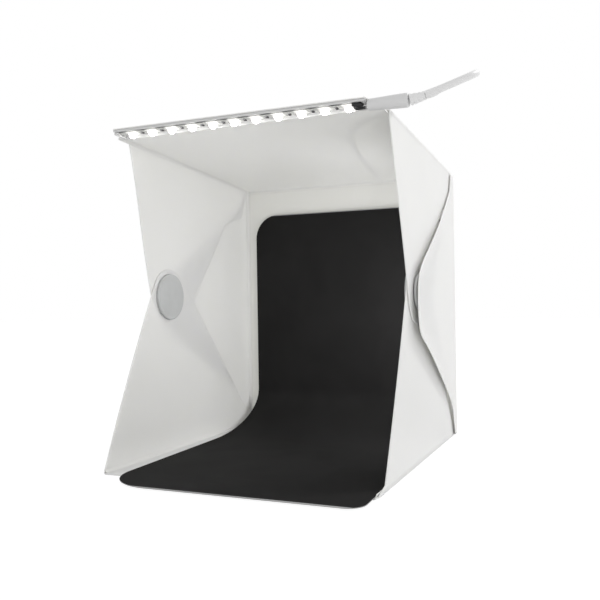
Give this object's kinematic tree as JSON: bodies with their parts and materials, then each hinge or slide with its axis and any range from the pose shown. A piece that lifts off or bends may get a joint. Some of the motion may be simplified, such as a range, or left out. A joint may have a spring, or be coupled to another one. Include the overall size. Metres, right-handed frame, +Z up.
{
  "type": "light tent cube",
  "caption": "Folding photo light tent cube of white plastic sheet, with a lamp bar under the roof, side flaps with magnet closures, a curved black backdrop and a USB lead.",
  "frame": {"origin": "bottom centre of the box and its backdrop, measured without the lead", "axes": "+Z up, +Y from the open front towards the back panel, +X to the right seen from the front"},
  "size_m": [0.2712, 0.3484, 0.2664],
  "materials": {
    "white_sheet": "translucent white polypropylene sheet, fine matt surface",
    "closure_cover": "satin grey-white plastic",
    "magnet": "nickel plated",
    "lamp_bar": "satin white",
    "strip_board": "white lacquered strip",
    "led": "clear lens over yellow phosphor",
    "resistor": "dark ceramic chip",
    "socket": "black moulded",
    "lead": "white flexible jacket, satin",
    "plug_metal": "plated steel",
    "plug_tongue": "moulded white",
    "hook_tape": "hook and loop tape",
    "backdrop": "black flexible sheet, fine matt grain"
  },
  "bodies": {
    "back": {"back_panel": "white_sheet", "backdrop": "backdrop", "hook_pad_left": "hook_tape", "hook_pad_right": "hook_tape", "loop_pad_left": "hook_tape", "loop_pad_right": "hook_tape", "usb_cord": "lead", "usb_coil": "lead", "usb_grip": "lead", "usb_shell": "plug_metal", "usb_tongue": "plug_tongue"},
    "roof": {"roof_panel": "white_sheet", "led_profile": "lamp_bar", "led_end_cap": "lamp_bar", "led_strip": "strip_board", "led_01": "led", "led_02": "led", "led_03": "led", "led_04": "led", "led_05": "led", "led_06": "led", "led_07": "led", "led_08": "led", "led_09": "led", "led_10": "led", "led_11": "led", "led_resistor_01": "resistor", "led_resistor_02": "resistor", "led_resistor_03": "resistor", "led_resistor_04": "resistor", "led_resistor_05": "resistor", "led_resistor_06": "resistor", "led_resistor_07": "resistor", "led_resistor_08": "resistor", "led_resistor_09": "resistor", "led_resistor_10": "resistor", "power_socket": "socket", "power_plug": "lead", "plug_strain_relief": "lead"},
    "base": {"base_panel": "white_sheet"},
    "upper_flap_left": {"upper_flap_left": "white_sheet"},
    "lower_flap_left": {"lower_flap_left": "white_sheet", "flap_cover_left": "closure_cover", "flap_magnet_left": "magnet"},
    "rear_web_left": {"rear_web_left": "white_sheet", "web_cover_left": "closure_cover", "web_magnet_left": "magnet"},
    "upper_flap_right": {"upper_flap_right": "white_sheet"},
    "lower_flap_right": {"lower_flap_right": "white_sheet", "flap_cover_right": "closure_cover", "flap_magnet_right": "magnet"},
    "rear_web_right": {"rear_web_right": "white_sheet", "web_cover_right": "closure_cover", "web_magnet_right": "magnet"}
  },
  "joints": [
    {"name": "roof_fold", "type": "hinge", "parent": "back", "child": "roof", "pos_m": [0, 0.1321, 0.2347], "axis": [1, 0, 0], "range_deg": [0, 25]},
    {"name": "base_fold", "type": "hinge", "parent": "back", "child": "base", "pos_m": [0, 0.1321, 0.0008], "axis": [-1, 0, 0], "range_deg": [0, 36], "deforming": ["backdrop"]},
    {"name": "right_web_open", "type": "hinge", "parent": "back", "child": "rear_web_right", "pos_m": [0.1049, 0.1329, 0.12], "axis": [0, 0, 1], "range_deg": [0, 170]},
    {"name": "left_web_open", "type": "hinge", "parent": "back", "child": "rear_web_left", "pos_m": [-0.1049, 0.1329, 0.12], "axis": [0, 0, -1], "range_deg": [0, 170]},
    {"name": "right_upper_flap_open", "type": "hinge", "parent": "roof", "child": "upper_flap_right", "pos_m": [0.1038, 0.03236, 0.24188], "axis": [0, -0.998, 0.0639], "range_deg": [0, 80]},
    {"name": "left_upper_flap_open", "type": "hinge", "parent": "roof", "child": "upper_flap_left", "pos_m": [-0.1038, 0.03236, 0.24188], "axis": [0, 0.998, -0.0639], "range_deg": [0, 80]},
    {"name": "right_lower_flap_fold", "type": "hinge", "parent": "base", "child": "lower_flap_right", "pos_m": [0.1019, 0, 0.0011], "axis": [0, -1, 0], "range_deg": [0, 72]},
    {"name": "left_lower_flap_fold", "type": "hinge", "parent": "base", "child": "lower_flap_left", "pos_m": [-0.1019, 0, 0.0011], "axis": [0, 1, 0], "range_deg": [0, 85]}
  ],
  "couplings": [
    {"joint": "right_upper_flap_open", "follows": "right_web_open", "ratio": 0.47},
    {"joint": "left_upper_flap_open", "follows": "left_web_open", "ratio": 0.47}
  ]
}
